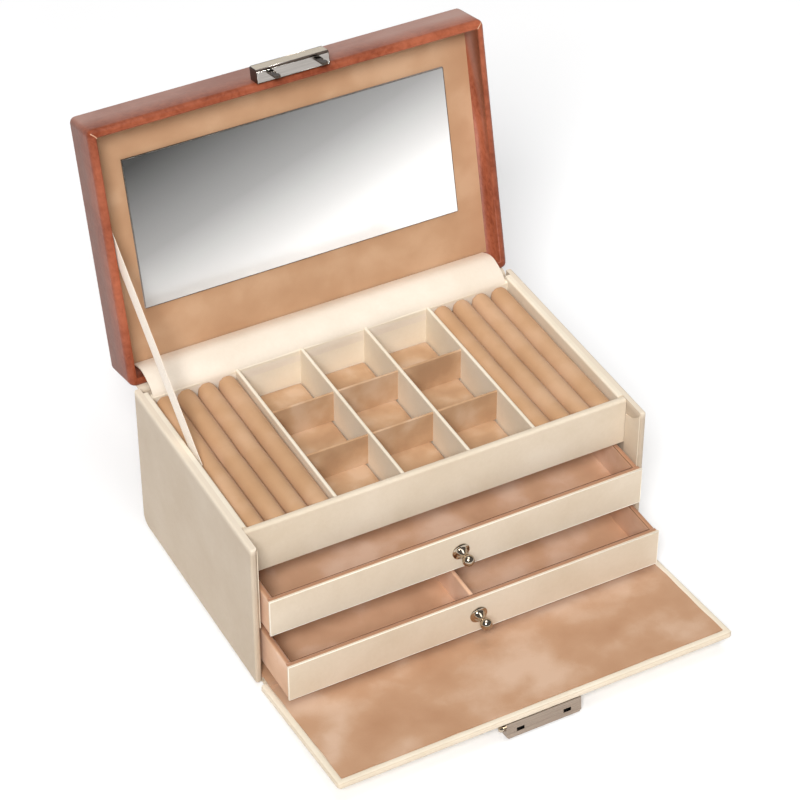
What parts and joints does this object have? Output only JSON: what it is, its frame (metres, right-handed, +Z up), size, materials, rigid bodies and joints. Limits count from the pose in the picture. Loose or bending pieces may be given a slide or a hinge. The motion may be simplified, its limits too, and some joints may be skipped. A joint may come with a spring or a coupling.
{
  "type": "vanity and jewellery box with drawers",
  "caption": "Leather-covered jewellery case, lid and front flap open, with mirror, ring rolls, compartments and two drawers.",
  "frame": {"origin": "middle of the underside of the bottom pad, on the table", "axes": "+Z up, -Y towards the front flap and drawers, +X to the right seen from the front"},
  "size_m": [0.3, 0.3923, 0.319],
  "materials": {
    "case_leather": "smooth cream leather, satin",
    "lid_leather": "smooth cognac leather, satin",
    "suede": "tan suede, matt",
    "mirror_glass": "polished, bevelled edge",
    "ribbon": "woven satin ribbon",
    "polished_nickel": "polished",
    "brushed_nickel": "brushed, warm",
    "steel": "plain",
    "board": "fibreboard, hidden under the linings"
  },
  "bodies": {
    "case": {"bottom_pad": "suede", "base_board": "board", "left_wall": "case_leather", "right_wall": "case_leather", "back_wall": "case_leather", "floor_lining": "suede", "drawer_runners": "suede", "drawer_shelf": "suede", "tray_front": "case_leather", "tray_left_side": "case_leather", "tray_right_side": "case_leather", "tray_rear": "case_leather", "tray_floor": "board", "tray_mats": "suede", "cross_dividers": "suede", "hinge_gusset": "case_leather", "hinge_spine": "case_leather", "ribbon_stay": "ribbon", "flap_hinge_strip": "case_leather", "flap_hinge_lining": "suede", "divider_1": "case_leather", "divider_2": "case_leather", "divider_3": "case_leather", "divider_4": "case_leather", "ring_roll_left_1": "suede", "ring_roll_right_1": "suede", "ring_roll_left_2": "suede", "ring_roll_right_2": "suede", "ring_roll_left_3": "suede", "ring_roll_right_3": "suede", "ring_roll_left_4": "suede", "ring_roll_right_4": "suede"},
    "lid": {"lid_shell": "lid_leather", "lid_frame": "board", "lid_lining": "suede", "mirror": "mirror_glass", "lid_lock": "brushed_nickel", "lock_hooks": "steel"},
    "flap": {"flap_board": "case_leather", "flap_lining": "suede", "flap_lock_housing": "brushed_nickel", "latch_spring": "steel"},
    "lock_release": {"latch_slide": "steel", "release_button": "brushed_nickel"},
    "upper_drawer": {"upper_drawer_front_plate": "case_leather", "upper_drawer_inner_front": "suede", "upper_drawer_floor": "suede", "upper_drawer_sides": "suede", "upper_drawer_back": "suede", "upper_drawer_knob": "polished_nickel", "upper_drawer_knob_screw": "steel"},
    "lower_drawer": {"lower_drawer_front_plate": "case_leather", "lower_drawer_inner_front": "suede", "lower_drawer_floor": "suede", "lower_drawer_sides": "suede", "lower_drawer_back": "suede", "lower_drawer_knob": "polished_nickel", "lower_drawer_knob_screw": "steel", "lower_drawer_divider": "suede"}
  },
  "joints": [
    {"name": "lid_hinge", "type": "hinge", "parent": "case", "child": "lid", "pos_m": [0, 0.0945, 0.1205], "axis": [1, 0, 0], "range_deg": [0, 103], "deforming": ["hinge_gusset", "hinge_spine", "ribbon_stay"]},
    {"name": "flap_hinge", "type": "hinge", "parent": "case", "child": "flap", "pos_m": [0, -0.098, 0.0022], "axis": [-1, 0, 0], "range_deg": [0, 84], "deforming": ["flap_hinge_strip", "flap_hinge_lining"]},
    {"name": "lock_release_slide", "type": "slide", "parent": "flap", "child": "lock_release", "axis": [1, 0, 0], "range_m": [0, 0.0026], "stiffness_N_per_m": 300, "springref_m": -0.002, "deforming": ["latch_spring"]},
    {"name": "upper_drawer_slide", "type": "slide", "parent": "case", "child": "upper_drawer", "axis": [0, 1, 0], "range_m": [0, 0.0288]},
    {"name": "lower_drawer_slide", "type": "slide", "parent": "case", "child": "lower_drawer", "axis": [0, 1, 0], "range_m": [0, 0.0645]}
  ],
  "couplings": [
    {"joint": "upper_drawer_slide", "follows": "flap_hinge", "m_per_rad": 0.019576},
    {"joint": "lower_drawer_slide", "follows": "flap_hinge", "m_per_rad": 0.043927}
  ]
}
